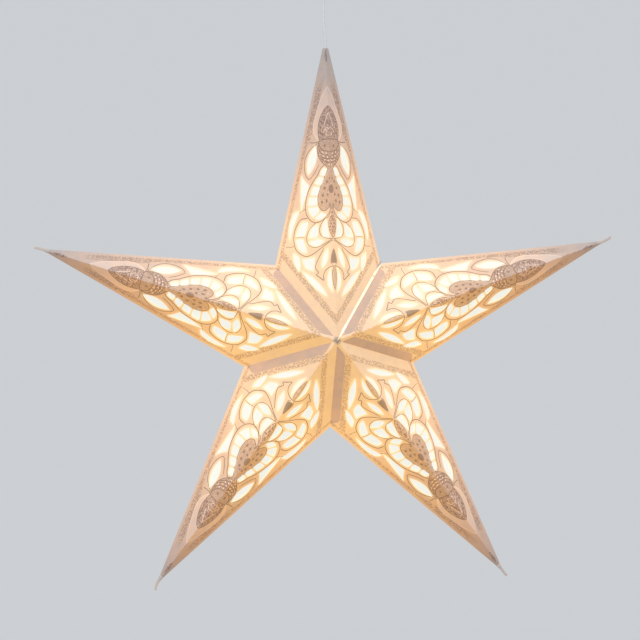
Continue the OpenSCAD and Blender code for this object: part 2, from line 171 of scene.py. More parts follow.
def newMaterial(name, colour, roughness, **sockets):
    mat = bpy.data.materials.new(name)
    mat.use_nodes = True
    shader = mat.node_tree.nodes["Principled BSDF"]
    shader.inputs["Base Color"].default_value = (*colour, 1)
    shader.inputs["Roughness"].default_value = roughness
    for key, value in sockets.items():
        shader.inputs[key].default_value = value
    mat.diffuse_color = (*colour, 1)
    return mat, mat.node_tree, shader


def feed(shader, **sources):  # links outputs to the shader's inputs, underscores for spaces
    for key, source in sources.items():
        shader.id_data.links.new(source, shader.inputs[key.replace("_", " ")])


def maths(tree, operation, *values, clamp=False):
    return put(tree, "Math", values, operation=operation, use_clamp=clamp)


def stepBetween(tree, value, low, high):  # 0 below low and 1 above high, or the other way round
    return put(tree, "MapRange", {"Value": value, "From Min": low, "From Max": high},
               interpolation_type="SMOOTHSTEP")


def blended(tree, factor, a, b, blend="MIX"):
    return put(tree, "Mix", {0: factor, 6: a, 7: b}, out=2, data_type="RGBA", blend_type=blend)


def scaled(tree, colour, factor):
    return put(tree, "VectorMath", {0: colour, 3: factor}, operation="SCALE")


def joined(tree, operation, a, b):  # two colours or places, channel by channel
    return put(tree, "VectorMath", [a, b], operation=operation)


def mottled(tree, factor, colour, low, high=1.0):  # the colour, from low to high times its strength
    darker, lighter = [[c * k for c in colour] for k in (low, high)]
    return blended(tree, factor, (*darker, 1), (*lighter, 1))


def noise(tree, place, scale, detail, **more):
    return put(tree, "TexNoise", {"Vector": place, "Scale": scale, "Detail": detail, **more})


def roughened(tree, height, strength, distance=0.0001):
    return put(tree, "Bump", {"Strength": strength, "Distance": distance, "Height": height})


cordLook = dict(
    route=[(0, 0), (6, -0.2), (12, -0.6), (20, -1.2), (28, -1.6), (36, -1.6), (44, -1.2),
           (52, -0.7), (60, -0.3), (68, 0)],  # height above the cut tip, sideways
    top=-12.5, bottom=60.0,  # under the terminal block; above the star's centre
    colour=(0.78, 0.78, 0.8),
)


def cordMaterial():
    mat, tree, shader = newMaterial("cordPvc", cordLook["colour"], 0.38)
    place = put(tree, "TexCoord", out=3)
    dust = noise(tree, place, 700.0, 3.0)
    stretched = joined(tree, "MULTIPLY", place, (1400, 1400, 60))
    streak = noise(tree, stretched, 1.0, 2.0)
    feed(shader, Base_Color=mottled(tree, dust, cordLook["colour"], 0.9, 1.05),
         Roughness=put(tree, "MapRange", {"Value": streak, "To Min": 0.3, "To Max": 0.5}),
         Normal=roughened(tree, streak, 0.15))
    return mat


def addCord():
    base = starZ + star["tip"] - tipCut
    bend = [(x, 0, base + z) for z, x in reversed(cordLook["route"])]
    bend = [(0, 0, bend[0][2] + 8), *bend, (0, 0, base - 8)]
    above = throughPoints([(0, 0, cordLook["top"]), bend[0]], 8.0)
    below = throughPoints([bend[-1], (0, 0, starZ + cordLook["bottom"])], 8.0)
    path = np.vstack([above[:-1], throughPoints(bend, 2.0), below[1:]])
    bm = bmesh.new()
    addTube(bm, path, star["cordWidth"] / 2, 20)
    mesh = finished(bm, "lamp_cord")
    mesh.materials.append(cordMaterial())
    piece = link("lamp_cord", mesh, ["cord"])
    path = path * mm
    length = float(np.linalg.norm(np.diff(path, axis=0), axis=1).sum())
    return length


cordLength = addCord()
print("cord hung, %.0f mm" % (cordLength * 1000))


# Print and cut-outs of half an arm.
# u runs from the virtual tip down the ridge, v square to it towards the outer fold, in mm.
# A cut-out is a ring of corners, each with the bulge of the side after it.
cutOuts = [
    [(112, 18, 5.4), (142, 27.5, 5)],
    [(141.5, 35.6, -0.6), (153, 26.6, 0.2), (179, 37.6, 0.6)],
    [(138, 4, 0.3), (145.8, 7.2, 0.3), (143.9, 13.2, 0.5), (137, 9.4, 0.3)],
    [(147.6, 8.4, 0.3), (155, 12.4, 0.3), (152.3, 20, 0.5), (145.4, 14.4, 0.3)],
    [(156.6, 13.4, 0.3), (164.6, 16.6, 0.3), (163.4, 25.6, 0.6), (154.4, 21, 0.3)],
    [(166.4, 17, 0.2), (174.3, 17.3, 0.3), (174.3, 28.8, 0.7), (165.2, 26.4, 0.3)],
    [(176.2, 17.2, 0.2), (181.2, 15.2, 0.4), (187, 23.6, 0.9), (176.2, 28.6, 0.3)],
    [(182.6, 13.2, 0.2), (186.2, 7, 0.3), (190.2, 13.4, 0.8), (188.4, 21.2, 0.4)],
    [(178, 39.5, -1.4), (207, 53, 3.6), (179.5, 47, 0.8)],
    [(190.5, 30, 1), (204.6, 35.6, 0.3), (204, 45.4, 1.2), (190.5, 38, 0.8)],
    [(207, 37.2, 0.3), (222.4, 33, 0.4), (220.4, 39.8, 1.2), (207.2, 46, 0.6)],
    [(194.6, 17.6, 0.3), (206.8, 19.2, 0.6), (207.2, 30, 0.6), (197.6, 26.8, 0.6)],
    [(212.4, 11.6, 0.8), (217.2, 21, 0.8), (212.2, 31.2, 0.6), (208.8, 20, 0.5)],
    [(189.4, 7.8, 0.2), (209.4, 4.8, 0.4), (208.6, 12.2, 3)],
    [(220.6, 7.2, 3.2), (240.4, 15, 3.4)],
    [(227.8, 23.8, 0), (242, 25.6, 0.6), (237.4, 35.4, 0.4), (227.8, 38.8, -0.4)],
    [(220.4, 49.2, 0.4), (225.8, 42.6, 0.8), (241, 42.6, 2.8)],
    [(240.6, 39.4, 3.6), (270, 9.8, 3)],
    [(241.4, 4.4, -0.6), (266.8, 2.8, 5.4)],
]
# Fields of print, from the ridge outwards: a tone and the points of their outline
fields = [
    ("halo", [(53, 0), (57.5, 3.9), (63, 7.4), (69, 10.2), (80, 15), (89, 18.4), (97, 19), (104, 16.5),
              (108.5, 12.5), (108.5, 0)]),
    ("stipple", [(73, 0), (76, 4.5), (82, 8.8), (89, 12), (96, 13.5), (103, 13.3), (108.5, 12), (108.5, 0)]),
    ("stipple", [(120, 0), (119.5, 5), (116, 11), (112, 14), (118, 15.1), (124, 14.4), (130, 11), (135, 6),
                 (139, 3.4), (145, 3.2), (145, 0)]),
    ("taupe", [(108.5, 0), (108.5, 12.3), (112, 13.2), (115.5, 11.4), (119.3, 7.5), (121, 0)]),
    ("taupe", [(139, 0), (139, 3.4), (146, 7.6), (156, 12.5), (166, 16), (174.5, 16), (180.2, 12.8),
               (181.6, 8.4), (178.5, 3.2), (177, 0)]),
    ("taupe", [(177, 0), (178, 1.4), (187, 1.6), (188, 0)]),
    ("stipple", [(187, 0), (189, 2.4), (194, 4.4), (200, 4.4), (206, 2.8), (211, 0)]),
    ("dark", [(222, 0), (226, 1.6), (231, 3.2), (236, 3.6), (237, 0)]),
    ("taupe", [(239.5, 0), (244, 2), (250, 2.5), (257, 1.8), (264, 0)]),
]
# Drawn lines: a tone, a width and the points
lines = [
    ("pale", 1.0, [(53, 0.3), (57.5, 3.9), (63, 7.4), (69, 10.2), (80, 15), (89, 18.4), (97, 19), (104, 16.5),
                   (108.5, 12.8)]),
    ("line", 0.7, [(73, 0.3), (76, 4.5), (82, 8.8), (89, 12), (96, 13.5), (103, 13.3), (108.5, 12.2)]),
    ("pale", 0.8, [(80.5, 0.3), (85, 2.4), (90, 4.6), (94.5, 6.4)]),
    ("pale", 0.7, [(100.5, 6.8), (97, 5), (95.8, 2.2), (97.5, 0.2)]),
    ("pale", 0.7, [(104, 0.2), (103.8, 3.2), (101.8, 4), (100.4, 2.4)]),
    ("line", 0.8, [(107.5, 0.2), (107.8, 5), (107.2, 9.5), (108.5, 12.6), (109.4, 18), (108.2, 24.5)]),
    ("line", 0.9, [(109, 12.6), (112.5, 13), (116, 11.2), (119.2, 7.6), (121.2, 0.2)]),
    ("line", 0.8, [(109, 12.8), (113, 14.6), (118, 15.2), (124, 14.5), (130, 11), (135, 6.2), (139, 3.6),
                   (145, 7), (156, 12.6), (166, 16.1), (174.5, 16.1), (180.4, 12.8), (181.8, 8.4), (178.6, 3),
                   (177.2, 0.2)]),
    ("line", 0.7, [(116, 14.5), (120, 12), (123.5, 7.5), (125, 0.2)]),
    ("line", 0.7, [(121, 14.4), (124.5, 11), (127.6, 6.2), (128.8, 0.2)]),
    ("line", 0.7, [(126, 13), (129, 9), (131.4, 4.6), (132.4, 0.2)]),
    ("line", 0.7, [(110.2, 14), (113.5, 20.6), (118, 26.5), (125, 30.6), (134, 31.8), (141.5, 30.4),
                   (146.6, 26.2), (141, 19.8), (133, 14)]),
    ("line", 0.9, [(133.6, 7.5), (138, 12.6), (143.5, 16), (149, 21), (157.5, 27), (168.5, 31), (179, 32),
                   (187.6, 28.4), (192.6, 21), (191.4, 12.5), (186.4, 5.6), (182, 2.4), (178, 1.6)]),
    ("line", 0.8, [(183.5, 1.8), (188.5, 5), (191, 10), (197.6, 15.3), (203.4, 16.1), (208.4, 12.5),
                   (210.8, 5.3), (211.6, 0.3)]),
    ("line", 0.8, [(192, 14.6), (193.4, 21.2), (200.4, 29.8), (207.8, 32.7), (215, 29.8), (218, 21.2),
                   (215.2, 9.7), (211.6, 1.2)]),
    ("line", 0.9, [(186.8, 30), (187, 38.4), (193.2, 44.4), (202, 48), (211, 48), (218.4, 45.4), (224, 38.4),
                   (226, 32.6), (223.8, 24), (219.4, 15.4), (215.4, 6.7), (213, 0.3)]),
    ("line", 0.6, [(206.4, 34.5), (205.2, 40), (205, 46.5)]),
    ("line", 0.6, [(213.6, 47.6), (213.8, 53), (213, 58.5)]),
    ("line", 0.6, [(176.5, 31.4), (178.6, 36.4), (180.4, 40.4)]),
    ("line", 0.9, [(219.6, 12.5), (223, 14.2), (228.4, 18.3), (235.2, 22.4), (239.6, 23), (244.4, 19.6),
                   (246.4, 22.4), (249.4, 18.4), (253, 13.6), (248.2, 13.8), (243.2, 11.1), (240.2, 5.3),
                   (239.6, 0.3)]),
    ("line", 0.6, [(222, 0.4), (226, 2), (231, 3.6), (236.2, 4.2), (238.4, 1.6)]),
    ("line", 0.6, [(239.8, 0.4), (244, 2.3), (250, 2.8), (257, 2.1), (264.5, 0.2)]),
    ("line", 0.6, [(187, 0.4), (189, 2.7), (194, 4.8), (200, 4.8), (206, 3.1), (211, 0.4)]),
]
# Drawn dots: a tone, the middle and the two half sizes
dots = [
    ("dark", 114.4, 5.9, 1.5, 1.3), ("dark", 160, 0, 4.6, 3.4), ("dark", 152, 5, 1.6, 1.3),
    ("dark", 158.4, 8, 1.6, 1.4), ("dark", 165.6, 10.4, 1.7, 1.4), ("dark", 172.8, 11.6, 1.9, 1.3),
    ("dark", 172, 6.2, 2.0, 1.2), ("dark", 165.4, 4.8, 1.4, 1.3), ("dark", 176.2, 2.4, 1.3, 1.0),
    ("dark", 180, 0, 1.1, 0.9), ("dark", 184.4, 0, 1.1, 0.9), ("dark", 191, 0, 1.4, 1.1),
    ("stipple", 21, 0, 7, 1.9),
    ("dark", 195.4, 2, 1.2, 1.0), ("dark", 199.6, 0, 1.4, 1.2), ("dark", 204.4, 0, 1.2, 1.0),
    ("dark", 149, 1.8, 1.3, 1.0), ("dark", 84, 6.8, 1.3, 1.0), ("dark", 89, 9, 1.2, 1.0),
    ("dark", 94.6, 10.6, 1.3, 1.1), ("dark", 100.4, 10.8, 1.2, 1.0), ("dark", 90.5, 1.8, 1.2, 0.9),
    ("pale", 122.6, 4.2, 0.7, 1.0), ("pale", 120.6, 9.2, 0.7, 1.0), ("pale", 126.6, 3.4, 0.7, 0.9),
    ("pale", 124.8, 8, 0.7, 0.9), ("pale", 130.4, 2.4, 0.7, 0.9), ("pale", 129, 6.6, 0.7, 0.9),
    ("pale", 122.4, 12.4, 0.7, 0.8), ("pale", 134.6, 1.6, 0.7, 0.8),
]
tones = ["plain", "halo", "stipple", "taupe", "line", "dark", "pale", "inside"]
# Steps of the flat mesh, the lining's and the flaps' edges, and the open seam with its ties' holes
mesh2d = dict(grid=3.4, cutStep=1.5, bevel=0.7, besideCut=1.1, liningStart=102.0, flap=10.0, liningMargin=2.0,
              flapStart=4.0, flapEnd=6.0, seamGap=2.5, seamEnd=(3.0, 16.0), middleHole=0.5,
              tiePlaces=(14, 48, 82), drawnValley=112, tieReach=5.5, tieHole=1.05)


def cutRing(corners):  # the cut's outline, with its sides bulged and its corners a little rounded
    corners = np.array(corners, float)
    sides = []
    for k, (u, v, bulge) in enumerate(corners):
        p, q = np.array([u, v]), corners[(k + 1) % len(corners), :2]
        d = q - p
        out = np.array([d[1], -d[0]]) / np.linalg.norm(d)
        f = np.linspace(0, 1, max(3, int(np.linalg.norm(d) / mesh2d["cutStep"]) + 1))[:, None]
        side = p + d * f + out * 4 * f * (1 - f) * bulge
        sides.append(side)
    ring = []
    for k, side in enumerate(sides):
        before, after = sides[k - 1], side
        a = before[-1] + (before[-2] - before[-1]) / np.linalg.norm(before[-2] - before[-1]) * mesh2d["bevel"]
        c = after[0] + (after[1] - after[0]) / np.linalg.norm(after[1] - after[0]) * mesh2d["bevel"]
        ring += [a, (a + c) / 4 + after[0] / 2, c, *side[1:-1]]
    return np.array(ring)


def lineRing(points, width):
    line = throughPoints(points, 1.6)
    d = np.gradient(line, axis=0)
    out = np.stack([d[:, 1], -d[:, 0]], 1) / np.linalg.norm(d, axis=1)[:, None] * width / 2
    taper = np.ones(len(line))
    taper[[0, -1]] = 0.5
    out *= taper[:, None]
    return np.vstack([line + out, (line - out)[::-1]])


def inRing(points, ring):  # true for each point inside the ring
    x, y = points[:, :1], points[:, 1:]
    ax, ay = ring[:, 0], ring[:, 1]
    bx, by = np.roll(ax, -1), np.roll(ay, -1)
    with np.errstate(divide="ignore", invalid="ignore"):
        crosses = ((ay > y) != (by > y)) & (x < (bx - ax) * (y - ay) / (by - ay) + ax)
    return crosses.sum(1) % 2 == 1


def besides(ring, distance):
    d = np.roll(ring, -1, 0) - np.roll(ring, 1, 0)
    out = np.stack([d[:, 1], -d[:, 0]], 1) / np.linalg.norm(d, axis=1)[:, None]
    return ring + out * distance


def toRings(points, rings):  # each point's distance to the nearest ring
    nearest = np.full(len(points), 99.0)
    for ring in rings:
        a, b = ring, np.roll(ring, -1, 0)
        d = b - a
        w = points[:, None] - a[None]
        t = np.clip((w * d).sum(2) / (d * d).sum(1), 0, 1)
        nearest = np.minimum(nearest, np.linalg.norm(w - d * t[..., None], axis=2).min(1))
    return nearest


def fromOuter(p):  # distance from the outer fold, from tip to corner
    return (p[:, 0] * cornerV - p[:, 1] * cornerU) / math.hypot(cornerU, cornerV)


def alongValley(p):  # distance along the valley from the corner, and away from it
    w = p - [cornerU, cornerV]
    c, s = math.cos(valleyAngle), math.sin(valleyAngle)
    return w[:, 0] * c - w[:, 1] * s, -(w[:, 0] * s + w[:, 1] * c)


def fromCorner(along, away):  # the point at those distances along the valley and away from it
    c, s = math.cos(valleyAngle), math.sin(valleyAngle)
    return np.array([cornerU + along * c - away * s, cornerV - along * s - away * c])


def slitEdge(along):  # half the open seam's width, which narrows towards the middle of the star
    end, full = mesh2d["seamEnd"]
    return mesh2d["seamGap"] / 2 * np.interp(valleyLen - along, [end, full], [0.12, 1.0])


def insideFlap(p, inset):  # signed distance inside the outline of a glue flap
    along, away = alongValley(p)
    m, root = mesh2d, math.sqrt(0.5)
    return np.minimum.reduce([
        away - inset, m["flap"] - away, (along - m["flapStart"] - away / 2) * 0.894,
        (valleyLen - m["flapEnd"] - away - along) * root])


def oval(u, v, halfU, halfV):
    turn = np.linspace(0, 2 * np.pi, 12, endpoint=False)
    return np.stack([u + halfU * np.cos(turn), v + halfV * np.sin(turn)], 1)


def printRings():  # a tone and a ring of points for each printed shape
    rings = [(tone, throughPoints(points, 2.0)) for tone, points in fields]
    rings += [(tone, lineRing(points, width)) for tone, width, points in lines]
    return rings + [(tone, oval(u, v, su, sv)) for tone, u, v, su, sv in dots]


def facetOutline():  # from the tip down the outer fold, up the valley and back along the ridge
    outline = [(0, 0), *[(cornerU * f, cornerV * f) for f in np.linspace(0.02, 1, 60)]]
    outline += [(cornerU + (ridgeLen - cornerU) * f, cornerV * (1 - f)) for f in np.linspace(0.03, 0.985, 32)]
    return outline + [(ridgeLen, 0)] + [(u, 0) for u in np.linspace(ridgeLen - 1.6, 4, 110)]


def middleArc():  # the edge round the hole in the middle of the star
    arc = []
    for a in np.linspace(0, math.pi - valleyAngle, 6)[::-1]:
        d = np.array([-math.cos(a), math.sin(a)])
        flat = math.hypot(d[0] * math.cos(tilt), d[1] * math.cos(fold))
        arc.append(np.array([ridgeLen, 0]) + d * mesh2d["middleHole"] / flat)
    return [p for p in arc if float(alongValley(np.array([p]))[1][0]) > -0.001]


def loosePoints(cuts):  # points on both sides of each cut, and an even grid of them between the folds
    free = [besides(c, s * mesh2d["besideCut"]) for c in cuts for s in (-1, 1)]
    step = mesh2d["grid"]
    rows = enumerate(np.arange(1.5, cornerV, step * 0.87))
    columns = np.arange(0, ridgeLen, step)
    grid = np.array([(u + (step / 2 if k % 2 else 0), v) for k, v in rows for u in columns])
    grid += np.random.default_rng(11).uniform(-0.25, 0.25, grid.shape) * step
    free = np.vstack([*free, grid])
    away = alongValley(free)[1]
    return free[(fromOuter(free) > 0.8) & (away > 0.8) & (free[:, 1] > 0.8)]


def halfArmPattern():
    cuts, rings = [cutRing(c) for c in cutOuts], printRings()
    m, verts, edges = mesh2d, [], []

    def addRing(ring, closed=True):
        start = len(verts)
        for u, v in ring:
            verts.append((u, max(v, 0.0)))
        count = len(ring)
        for k in range(count if closed else count - 1):
            if verts[start + k] != verts[start + (k + 1) % count]:
                edges.append((start + k, start + (k + 1) % count))

    hole, start = middleArc(), m["liningStart"]
    addRing(facetOutline())
    addRing(hole, False)
    addRing([(start, f * start * cornerV / cornerU) for f in np.linspace(0, 1, 10)], False)
    addRing([fromCorner(s, slitEdge(s)) for s in np.linspace(-0.02, 1, 60) * valleyLen], False)
    tiePlaces = [fromCorner(s * valleyLen / m["drawnValley"], m["tieReach"]) for s in m["tiePlaces"]]
    tieHoles = [oval(*place, m["tieHole"], m["tieHole"]) for place in tiePlaces]
    for ring in cuts + tieHoles + [ring for tone, ring in rings]:
        addRing(ring)
    verts += [tuple(p) for p in loosePoints(cuts)]
    flat, _, faces, *_ = delaunay_2d_cdt([Vector(p) for p in verts], edges, [], 0, 1e-5)
    flat = np.array([tuple(p) for p in flat])
    tris = np.array([f for f in faces if len(f) == 3])
    middle = flat[tris].mean(1)
    d1, d2 = flat[tris[:, 1]] - flat[tris[:, 0]], flat[tris[:, 2]] - flat[tris[:, 0]]
    area = (d1[:, 0] * d2[:, 1] - d1[:, 1] * d2[:, 0]) / 2
    tris[area < 0] = tris[area < 0][:, ::-1]
    along, away = alongValley(middle)
    keep = (fromOuter(middle) > 1e-4) & (away > 1e-4) & (middle[:, 1] > 1e-4) & (np.abs(area) > 1e-6)
    keep &= ~inRing(middle, np.array([*hole, (ridgeLen + 1, -1), (ridgeLen + 1, 3)]))
    tris, middle, along, away = tris[keep], middle[keep], along[keep], away[keep]
    tone = np.zeros(len(tris), int)
    for name, ring in rings:
        tone[inRing(middle, ring)] = tones.index(name)
    cut = np.any([inRing(middle, ring) for ring in cuts], 0)
    lined = (middle[:, 0] > start) & (away > m["flap"] + m["liningMargin"])
    slit = away < slitEdge(along)
    tied = np.any([inRing(middle, ring) for ring in tieHoles], 0)
    print("half pattern: %d corners, %d faces, %d cut away" % (len(flat), len(tris), cut.sum()))
    return dict(flat=flat, tris=tris, tone=tone, cut=cut, lined=lined, slit=slit, tied=tied,
                beside=toRings(flat, cuts))


pattern = halfArmPattern()


# how far the paper swells between its folds, and the painted light on the top arm: a dimmer glow towards its
# tip and more of the painted sky light
folding = dict(ripple=0.34, rippleLength=70.0, fadeFromFolds=14.0, dimTop=0.4, coolTop=0.25)


def facetAxes():
    s, c, sf, cf = math.sin(tilt), math.cos(tilt), math.sin(fold), math.cos(fold)
    return (np.array([0, -s, -c]), np.array([cf, sf * c, -sf * s]), np.array([sf, -c * cf, s * cf]))


def ripple(flat, arm, left, back):  # how far the paper swells out of its plane
    random = np.random.default_rng(100 + arm * 4 + left * 2 + back)
    u, v = flat.T
    swell = np.zeros(len(flat))
    for k in range(4):
        angle, phase = random.uniform(0, math.pi), random.uniform(0, 6.28)
        wave = folding["rippleLength"] * random.uniform(0.6, 1.6)
        swell += np.sin((u * math.cos(angle) + v * math.sin(angle)) * 6.28 / wave + phase) / 2
    near = np.minimum.reduce([v, fromOuter(flat), alongValley(flat)[1]])
    fade = np.clip(near / folding["fadeFromFolds"], 0, 1)
    return folding["ripple"] * swell * fade * fade * (3 - 2 * fade)


def folded(flat, arm, left, back, lift):  # the pattern's points in space, in mm about the star's centre
    eu, ev, en = facetAxes()
    out = np.array([0, 0, star["tip"]]) + flat[:, :1] * eu + flat[:, 1:] * ev
    out = out + (ripple(flat, arm, left, back) + lift)[:, None] * en
    out[:, 0] = np.maximum(out[:, 0], 0)
    out[:, 1] = np.minimum(out[:, 1], 0)
    if left:
        out[:, 0] *= -1
    if back:
        out[:, 1] *= -1
    return out


def setVector(mesh, name, values):
    layer = mesh.attributes.new(name, "FLOAT_VECTOR", "POINT")
    layer.data.foreach_set("vector", np.ascontiguousarray(values, np.float32).ravel())


def foldedMesh(name, arm, chosen, depthOf, trim):
    flat, number = pattern["flat"], np.full(len(pattern["flat"]), -1)
    used = np.unique(pattern["tris"][chosen])
    number[used] = np.arange(len(used))
    flat, beside = flat[used], pattern["beside"][used]
    points, faces, numbers, places, edges, lights = [], [], [], [], [], []
    normal, turn = facetAxes()[2], math.radians(72 * arm)
    for back in (False, True):
        for left in (False, True):
            atSeam = (arm, left) in ((0, False), (1, True))
            kept = chosen & ~(pattern["slit"] & atSeam) & ~(pattern["tied"] & (atSeam and back))
            sign = -1 if left else 1
            p = folded(flat, arm, left, back, -depthOf(flat))
            glow = 1 - np.linalg.norm(p, axis=1) / star["tip"]
            # how far this facet looks up, for the painted sky light
            skyward = normal[2] * math.cos(turn) - sign * normal[0] * math.sin(turn)
            # painted light: the top arm glows less towards its tip and takes more of the painted sky light
            if arm == 0:
                glow = glow * np.interp(flat[:, 0], [40, 150], [folding["dimTop"], 1])
                skyward += folding["coolTop"]
            inFlap = np.full(len(flat), -50.0)
            if arm and (not left or arm == 1):
                inFlap = insideFlap(flat, mesh2d["seamGap"] / 2 if left else 0.0)
            local = number[pattern["tris"][kept]] + len(points) * len(flat)
            faces.append(local[:, ::-1] if left != back else local)
            points.append(p)
            numbers.append(pattern["tone"][kept])
            apart = np.full(len(flat), arm * 40.0 + back * 17)  # so no two sides have the same grain
            places.append(np.stack([flat[:, 0], flat[:, 1] * sign, apart], 1))
            edges.append(np.stack([fromOuter(flat), alongValley(flat)[1], inFlap], 1))
            lights.append(np.stack([glow, np.full(len(flat), skyward), beside], 1))
    mesh = bpy.data.meshes.new(name)
    mesh.from_pydata((np.vstack(points) * mm).tolist(), [], np.vstack(faces).tolist())
    mesh.polygons.foreach_set("material_index", np.concatenate(numbers).astype(np.int32))
    setVector(mesh, "place", np.vstack(places))
    setVector(mesh, "edges", np.vstack(edges))
    setVector(mesh, "light", np.vstack(lights))
    bm = bmesh.new()
    bm.from_mesh(mesh)
    bmesh.ops.delete(bm, geom=[v for v in bm.verts if not v.link_faces], context="VERTS")
    bmesh.ops.remove_doubles(bm, verts=bm.verts, dist=1e-6)
    if trim:
        everything = [*bm.verts, *bm.edges, *bm.faces]
        bmesh.ops.bisect_plane(bm, geom=everything, dist=1e-7, plane_co=(0, 0, (star["tip"] - trim) * mm),
                               plane_no=(0, 0, 1), clear_outer=True)
    bm.transform(Matrix.Translation((0, 0, starZ * mm)) @ Matrix.Rotation(turn, 4, "Y"))
    bm.to_mesh(mesh)
    bm.free()
    return mesh


def thickened(mesh, name, thickness):  # paper of that thickness, grown inwards
    for mat in cardMaterials:
        mesh.materials.append(mat)
    holder = bpy.data.objects.new(name, mesh)
    scene.collection.objects.link(holder)
    solid = holder.modifiers.new("thickness", "SOLIDIFY")
    solid.thickness, solid.offset = thickness * mm, -1
    solid.material_offset = solid.material_offset_rim = len(tones)
    depsgraph = bpy.context.evaluated_depsgraph_get()
    result = bpy.data.meshes.new_from_object(holder.evaluated_get(depsgraph))
    result.name = name
    bpy.data.objects.remove(holder)
    return result


# What each tone of the print looks like and how much of the bulb's light it lets through
cardLook = dict(
    plain=dict(colour=(0.425, 0.352, 0.295), passes=1.0, marks=0.0),
    halo=dict(colour=(0.5, 0.425, 0.365), passes=1.12, marks=0.0),
    stipple=dict(colour=(0.4, 0.335, 0.3), passes=0.93, marks=0.92),
    taupe=dict(colour=(0.36, 0.295, 0.255), passes=0.86, marks=0.4),
    line=dict(colour=(0.17, 0.13, 0.11), passes=0.4, marks=0.0),
    dark=dict(colour=(0.2, 0.155, 0.135), passes=0.46, marks=0.2),
    pale=dict(colour=(0.58, 0.51, 0.45), passes=1.18, marks=0.0),
    squiggle=1.8,                  # size of the stippling's marks
    ink=(0.5, 0.41, 0.36),         # what the marks leave of the card's colour
    border=0.7,                    # strength of the stippled borders
    skyTint=(0.04, 0.11, 0.165),   # painted sky light: facets that look up are cooler and paler
    floorTint=(0.03, -0.045, -0.13),   # and painted warm light makes those that look down warmer
    least=(0.015, 0.015, 0.012),   # light that passes at the tips at least
    doubled=(0.6, 0.49, 0.56),     # light that passes where a glue flap lies behind
    doubledAtCentre=0.8,           # and how much of it is left close to the middle
    middle=0.12,                   # light that passes where the arms' points meet
    # painted glow along the edges of the cut-outs, and how far it reaches
    bloom=(0.27, 0.25, 0.13), bloomReach=1.1,
)
# Light that comes through the plain card, from the tip to the middle of the star
throughCard = [(0.0, (0.03, 0.035, 0.05)), (0.1, (0.2, 0.09, 0.05)), (0.2, (0.29, 0.14, 0.065)),
               (0.34, (0.43, 0.207, 0.078)), (0.5, (0.56, 0.268, 0.09)), (0.66, (0.71, 0.385, 0.14)),
               (0.8, (0.6, 0.34, 0.125))]
insideLook = dict(colour=(0.5, 0.46, 0.4), low=(0.78, 0.66, 0.43), high=(0.9, 0.79, 0.56))


def glowRamp(tree, factor):
    ramp = tree.nodes.new("ShaderNodeValToRGB")
    tree.links.new(factor, ramp.inputs[0])
    stops = ramp.color_ramp.elements
    for place, colour in throughCard[2:]:
        stops.new(place)
    for stop, (place, colour) in zip(stops, throughCard):
        stop.position, stop.color = place, (*colour, 1)
    return ramp.outputs[0]


def attribute(tree, name):
    return put(tree, "Attribute", out=1, attribute_name=name)


def split(tree, vector):
    return put(tree, "SeparateXYZ", [vector]).node.outputs


def squiggles(tree, place, size):  # 0 on short curled marks, 1 between them
    bend = put(tree, "TexNoise", {"Vector": place, "Scale": 0.9 / size, "Detail": 1.0}, out=1)
    bend = scaled(tree, joined(tree, "SUBTRACT", bend, (0.5, 0.5, 0.5)), size * 1.5)
    bent = joined(tree, "ADD", place, bend)
    edge = put(tree, "TexVoronoi", {"Vector": bent, "Scale": 1 / size}, feature="DISTANCE_TO_EDGE")
    gaps = noise(tree, place, 0.8 / size, 2.0)
    mark = maths(tree, "MULTIPLY", stepBetween(tree, edge, 0.24, 0.08), stepBetween(tree, gaps, 0.68, 0.5))
    return maths(tree, "SUBTRACT", 1.0, mark)


# Where the stippled borders fade in and out, in mm from the outer fold, the tip and the valley
borders = dict(outer=(2.4, 3.6), reach=10.6, narrowing=3.2, narrows=(98.0, 116.0), begins=(38.0, 60.0),
               inner=(9.6, 10.8), innerEnd=(17.4, 16.0), clear=(2.0, 4.0))


def stippledBorders(tree, place, outer, valley, fibre):  # 1 inside the borders along the folds
    along = split(tree, place)[0]
    wobble = maths(tree, "MULTIPLY_ADD", fibre, 3.0, -1.5)
    fromFold = maths(tree, "ADD", outer, wobble)
    fromValleyEdge = maths(tree, "ADD", valley, wobble)
    b = borders
    narrowed = maths(tree, "MULTIPLY", stepBetween(tree, along, *b["narrows"]), -b["narrowing"])
    past = maths(tree, "SUBTRACT", maths(tree, "ADD", narrowed, b["reach"]), fromFold)
    border = stepBetween(tree, fromFold, *b["outer"])
    border = maths(tree, "MULTIPLY", border, stepBetween(tree, past, 0.0, 1.4))
    border = maths(tree, "MULTIPLY", border, stepBetween(tree, along, *b["begins"]))
    inner = maths(tree, "MULTIPLY", stepBetween(tree, fromValleyEdge, *b["inner"]),
                  stepBetween(tree, fromValleyEdge, *b["innerEnd"]))
    inner = maths(tree, "MULTIPLY", inner, stepBetween(tree, outer, *b["clear"]))
    return maths(tree, "MAXIMUM", border, inner)


